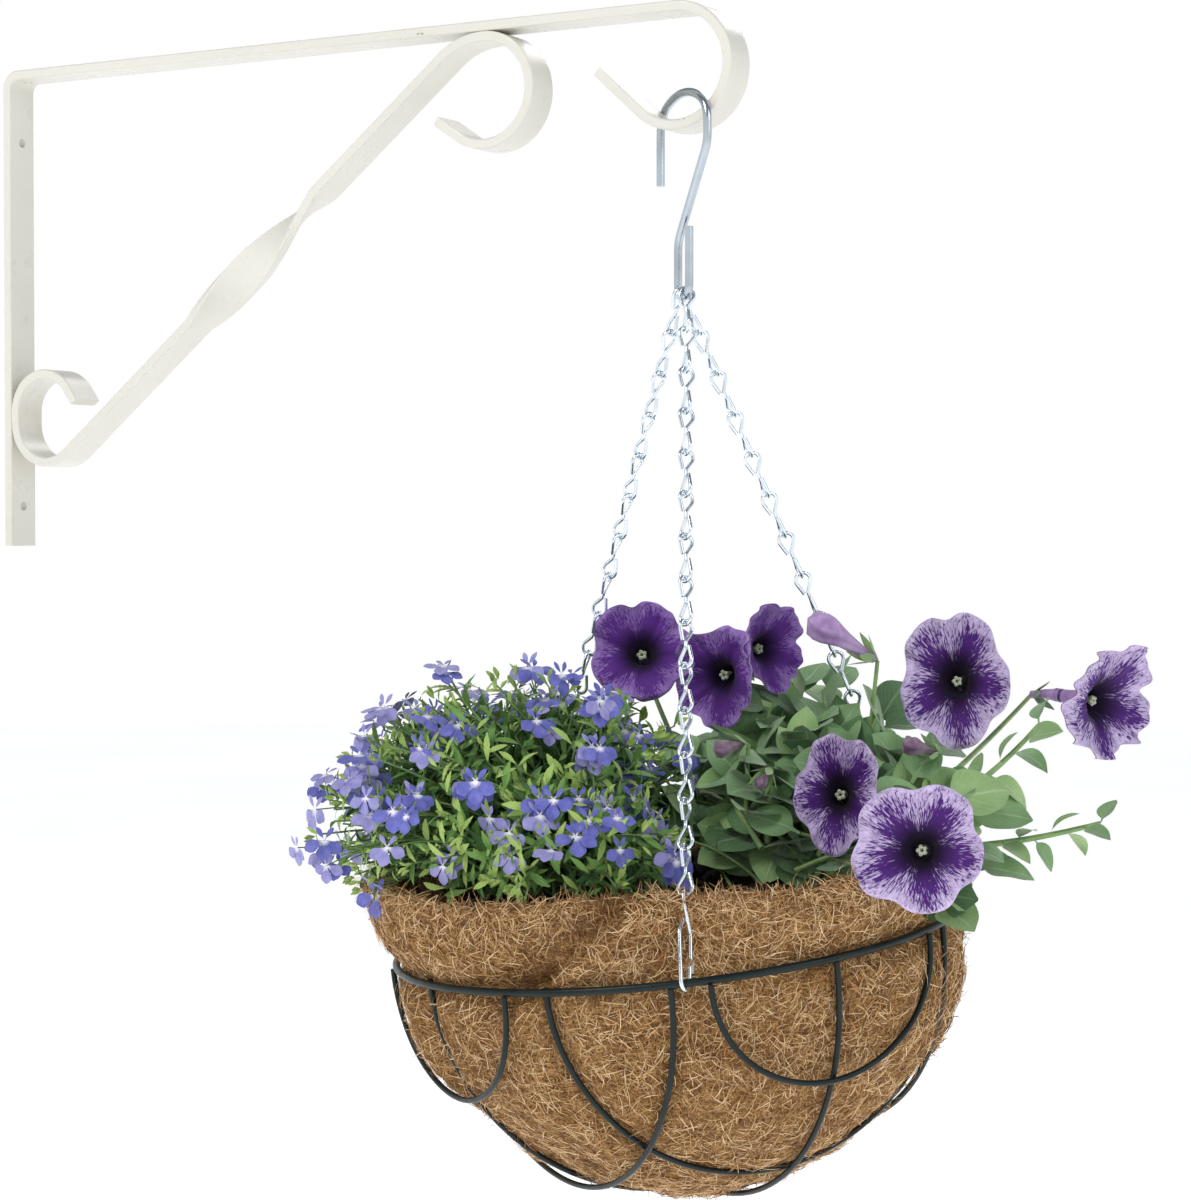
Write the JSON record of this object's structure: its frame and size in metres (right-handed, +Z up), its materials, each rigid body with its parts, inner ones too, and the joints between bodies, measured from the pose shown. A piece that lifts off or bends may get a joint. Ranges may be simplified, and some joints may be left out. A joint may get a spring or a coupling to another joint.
{
  "type": "hanging basket with wall bracket",
  "caption": "Scrolled flat-bar wall bracket holding a chain-hung wire basket with a coir liner, planted with trailing lobelia and petunias.",
  "frame": {"origin": "midway between the two wall screws, on the wall face of the bracket's leg", "axes": "+X out from the wall along the arm, +Z up, +Y to the left of the arm seen from the wall"},
  "size_m": [0.6744, 0.3175, 0.6284],
  "materials": {
    "bracket_coat": "gloss cream powder coat",
    "hook_zinc": "bright zinc plate",
    "chain_zinc": "bright zinc plate",
    "basket_coat": "dark green plastic coat, semi-gloss",
    "coir": "matt fibre mat",
    "compost": "damp crumb",
    "lobelia": "leaf green with violet-blue flowers",
    "petunia": "grey-green leaves with purple flowers"
  },
  "bodies": {
    "bracket": {"bracket_bar": "bracket_coat", "bracket_brace": "bracket_coat"},
    "hook": {"hanging_hook": "hook_zinc"},
    "basket": {"coir_liner": "coir", "compost": "compost", "front_clip": "chain_zinc", "front_link_01": "chain_zinc", "front_link_02": "chain_zinc", "front_link_03": "chain_zinc", "front_link_04": "chain_zinc", "front_link_05": "chain_zinc", "front_link_06": "chain_zinc", "front_link_07": "chain_zinc", "front_link_08": "chain_zinc", "front_link_09": "chain_zinc", "front_link_10": "chain_zinc", "front_link_11": "chain_zinc", "front_link_12": "chain_zinc", "front_link_13": "chain_zinc", "front_link_14": "chain_zinc", "half_moon_wires": "basket_coat", "inner_rib_1": "basket_coat", "inner_rib_2": "basket_coat", "inner_rib_3": "basket_coat", "left_clip": "chain_zinc", "left_link_01": "chain_zinc", "left_link_02": "chain_zinc", "left_link_03": "chain_zinc", "left_link_04": "chain_zinc", "left_link_05": "chain_zinc", "left_link_06": "chain_zinc", "left_link_07": "chain_zinc", "left_link_08": "chain_zinc", "left_link_09": "chain_zinc", "left_link_10": "chain_zinc", "left_link_11": "chain_zinc", "left_link_12": "chain_zinc", "left_link_13": "chain_zinc", "left_link_14": "chain_zinc", "lobelia_plant": "lobelia", "outer_rib_1": "basket_coat", "outer_rib_2": "basket_coat", "outer_rib_3": "basket_coat", "petunia_plant": "petunia", "right_clip": "chain_zinc", "right_link_01": "chain_zinc", "right_link_02": "chain_zinc", "right_link_03": "chain_zinc", "right_link_04": "chain_zinc", "right_link_05": "chain_zinc", "right_link_06": "chain_zinc", "right_link_07": "chain_zinc", "right_link_08": "chain_zinc", "right_link_09": "chain_zinc", "right_link_10": "chain_zinc", "right_link_11": "chain_zinc", "right_link_12": "chain_zinc", "right_link_13": "chain_zinc", "rim_ring": "basket_coat"}
  },
  "joints": [
    {"name": "hook_swing", "type": "hinge", "parent": "bracket", "child": "hook", "pos_m": [0.4615, 0, 0.11825], "axis": [0, 1, 0], "range_deg": [-15, 15]},
    {"name": "basket_swing", "type": "hinge", "parent": "hook", "child": "basket", "pos_m": [0.4615, 0, 0.0046], "axis": [0.5736, 0.8192, 0], "range_deg": [-20, 20]}
  ]
}
